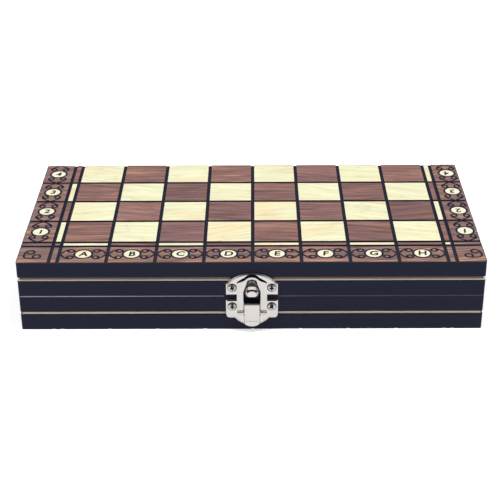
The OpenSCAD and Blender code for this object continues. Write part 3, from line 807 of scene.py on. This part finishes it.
def ribbon(points, closed=False):
    """Corners and faces of a thin raised line; its ends are narrower"""
    count = len(points)
    corners = []
    for i, point in enumerate(points):
        before = points[i - 1] if i or closed else point
        after = points[(i + 1) % count] if i < count - 1 or closed else point
        side = (after - before).normalized().orthogonal() * LINE_W / 2
        if not closed and i in (0, count - 1):
            side *= LINE_END
        for level in (-PROUD, PROUD):
            corners += [(*(point + side), level), (*(point - side), level)]
    faces = []
    for i in range(count if closed else count - 1):
        a = 4 * i
        b = 4 * ((i + 1) % count)
        faces += [
            (a + 2, b + 2, b + 3, a + 3), (a, a + 1, b + 1, b),
            (a, b, b + 2, a + 2), (a + 1, a + 3, b + 3, b + 1),
        ]
    if not closed:
        last = 4 * (count - 1)
        faces += [(0, 2, 3, 1), (last, last + 1, last + 3, last + 2)]
    return corners, faces


def circle_points(radius, count=28):
    angles = [2 * math.pi * i / count for i in range(count)]
    return [Vector((radius * math.cos(a), radius * math.sin(a))) for a in angles]


def cell_lines(along_x):
    """Ribbons of one cell, drawn about the disc's centre"""
    lines = [ribbon(circle_points(disc_r + RING_GAP), closed=True)]
    for sx in (-1, 1):
        for sy in (-1, 1):
            if along_x:
                points = [(sx * x, sy * y) for x, y in SCROLL]
            else:
                points = [(sy * y, sx * x * SIDE_SQUEEZE) for x, y in SCROLL]
            lines.append(ribbon(curve_through(points)))
    return lines


def letters(text, size):
    """Corners and faces of a short text, centred on the origin"""
    data = bpy.data.curves.new("glyph", "FONT")
    data.body = text
    data.size = size
    data.shear = LETTER_LEAN
    data.offset = LETTER_BOLD
    data.extrude = PROUD
    data.resolution_u = 4
    data.align_x = "CENTER"
    data.align_y = "CENTER"
    glyph = bpy.data.objects.new("glyph", data)
    bpy.context.scene.collection.objects.link(glyph)
    mesh = bpy.data.meshes.new_from_object(
        glyph.evaluated_get(bpy.context.evaluated_depsgraph_get())
    )
    corners = [(v.co.x * LETTER_WIDTH, v.co.y, v.co.z) for v in mesh.vertices]
    faces = [tuple(p.vertices) for p in mesh.polygons]
    bpy.data.objects.remove(glyph)
    return corners, faces


def burnt_piece(name, body, parts):
    """One piece of many thin lines, each with its own matrix"""
    corners = []
    faces = []
    for matrix, (own, own_faces) in parts:
        first = len(corners)
        corners += [matrix @ Vector(c) for c in own]
        faces += [tuple(first + i for i in face) for face in own_faces]
    mesh = bpy.data.meshes.new(name)
    mesh.from_pydata(corners, [], faces)
    mesh.materials.append(burnt_wood)
    piece = bpy.data.objects.new(name, mesh)
    bpy.context.scene.collection.objects.link(piece)
    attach(piece, body)


def board_lines(half):
    """The ornament and the coordinates of one half; the lower half reads from below"""
    lines = []
    marks = []
    middle_x = (letter_discs[0].x + letter_discs[-1].x) / 2
    for place, letter in zip(letter_discs, "ABCDEFGH"):
        matrix = face_matrix(half, place)
        lines += [(matrix, line) for line in cell_lines(along_x=True)]
        marks.append((face_matrix(half, place, half == "lower"), letters(letter, LETTER_SIZE)))
    for place in number_discs:
        rank = round((place.y - number_discs[0].y) / row_pitch) + 1
        number = rank if half == "upper" else 9 - rank
        matrix = face_matrix(half, place)
        lines += [(matrix, line) for line in cell_lines(along_x=False)]
        turned = place.x > middle_x
        marks.append((face_matrix(half, place, turned), letters(str(number), NUMBER_SIZE)))
    for side in (-1, 1):
        out = middle_x - number_discs[0].x + CORNER_OUT
        place = Vector((middle_x + side * out, letter_y))
        points = [(-side * x, y if half == "upper" else -y) for x, y in CORNER]
        lines.append((face_matrix(half, place), ribbon(curve_through(points))))
    burnt_piece(f"{half}_burnt_lines", half, lines)
    burnt_piece(f"{half}_coordinates", half, marks)


for half in ("lower", "upper"):
    board_lines(half)


# Stage
FLOOR_REACH = 6.0
FLOOR_PALE = 0.93
FLOOR_GLOW = 0.24
LAMP_W = 0.35
LAMP_H = 0.9
# Parts of a direction, from -1 to 1, where each light of the surroundings sets in and is full
CEILING_UP = (0.3, 0.9)
MIDDLE_STRIP = (0.1, 0.4)
MIDDLE_DIM = 0.3
BANK_SIDE = (0.25, 0.6)
BANK_FOOT = (0.05, 0.35)
BANK_TOP = (0.65, 0.8)
BANK_DIM = 0.25
WALL_BACK = (0.3, 0.8)
WALL_FOOT = (0.0, 0.2)
KEY_AT = (-0.6, -0.3, 1.3)
KEY_WATTS = 11.8
FILL_AT = (0.62, -0.3, 1.3)
FILL_WATTS = 12.9


def floor():
    mesh = bpy.data.meshes.new("floor")
    corners = [(x * FLOOR_REACH, y * FLOOR_REACH, 0)
               for x, y in ((-1, -1), (1, -1), (1, 1), (-1, 1))]
    mesh.from_pydata(corners, [], [(0, 1, 2, 3)])
    sheet = bpy.data.objects.new("floor", mesh)
    bpy.context.scene.collection.objects.link(sheet)
    material, graph = new_graph("floor_white")
    graph.surface(
        Base_Color=(FLOOR_PALE, FLOOR_PALE, FLOOR_PALE, 1), Roughness=0.9,
        Emission_Color=(1, 1, 1, 1), Emission_Strength=FLOOR_GLOW,
    )
    mesh.materials.append(material)


def softbox(name, place, power):
    """A tall soft lamp aimed at the box"""
    data = bpy.data.lights.new(name, "AREA")
    data.shape = "RECTANGLE"
    data.size = LAMP_W
    data.size_y = LAMP_H
    data.energy = power
    lamp = bpy.data.objects.new(name, data)
    bpy.context.scene.collection.objects.link(lamp)
    lamp.location = place
    lamp.rotation_euler = (-Vector(place)).to_track_quat("-Z", "Y").to_euler()


def surroundings(room, overhead, banks, back):
    """A dim room, paler above and behind, with bright side banks; the camera sees plain white"""
    world = bpy.data.worlds.new("studio")
    bpy.context.scene.world = world
    world.use_nodes = True
    graph = Graph(world.node_tree)
    x, y, up = graph.split(graph.add("ShaderNodeTexCoord").outputs["Generated"])
    sideways = graph.math("ABSOLUTE", x)
    ceiling = graph.math(
        "MULTIPLY", graph.between(up, *CEILING_UP, room, overhead),
        graph.between(sideways, *MIDDLE_STRIP, MIDDLE_DIM, 1.0))
    bank = graph.math(
        "MULTIPLY", graph.between(sideways, *BANK_SIDE), graph.between(up, *BANK_FOOT, 0.0, banks))
    bank = graph.math("MULTIPLY", bank, graph.between(up, *BANK_TOP, 1.0, BANK_DIM))
    wall = graph.math(
        "MULTIPLY", graph.between(y, *WALL_BACK, 0.0, back), graph.between(up, *WALL_FOOT))
    light = graph.either(graph.either(ceiling, bank), wall)
    light = graph.either(light, graph.add("ShaderNodeLightPath").outputs["Is Camera Ray"])
    graph.add(
        "ShaderNodeOutputWorld", graph.add("ShaderNodeBackground", (1, 1, 1, 1), light).outputs[0])


# The photograph's view: the camera's place in metres, its angles in degrees
CAMERA_AT = (0.0015, -0.6302, 0.3496)
CAMERA_ELEVATION = 27.984
CAMERA_AZIMUTH = -0.210
CAMERA_ROLL = -0.270
LENS_MM = 92.01
SENSOR_MM = 36


def camera():
    elevation = math.radians(CAMERA_ELEVATION)
    azimuth = math.radians(CAMERA_AZIMUTH)
    roll = math.radians(CAMERA_ROLL)
    forward = Vector((
        math.sin(azimuth) * math.cos(elevation),
        math.cos(azimuth) * math.cos(elevation),
        -math.sin(elevation),
    ))
    level = forward.cross(Vector((0, 0, 1))).normalized()
    upright = level.cross(forward)
    right = math.cos(roll) * level + math.sin(roll) * upright
    up = -math.sin(roll) * level + math.cos(roll) * upright
    data = bpy.data.cameras.new("camera")
    data.lens = LENS_MM
    data.sensor_width = SENSOR_MM
    data.clip_start = 0.01
    cam = bpy.data.objects.new("camera", data)
    bpy.context.scene.collection.objects.link(cam)
    turn = Matrix((right, up, -forward)).transposed().to_4x4()
    cam.matrix_world = Matrix.Translation(CAMERA_AT) @ turn
    bpy.context.scene.camera = cam


floor()
surroundings(room=0.06, overhead=0.4, banks=1.0, back=0.45)
softbox("key", KEY_AT, KEY_WATTS)
softbox("fill", FILL_AT, FILL_WATTS)
camera()
bpy.context.scene.view_settings.view_transform = "Standard"
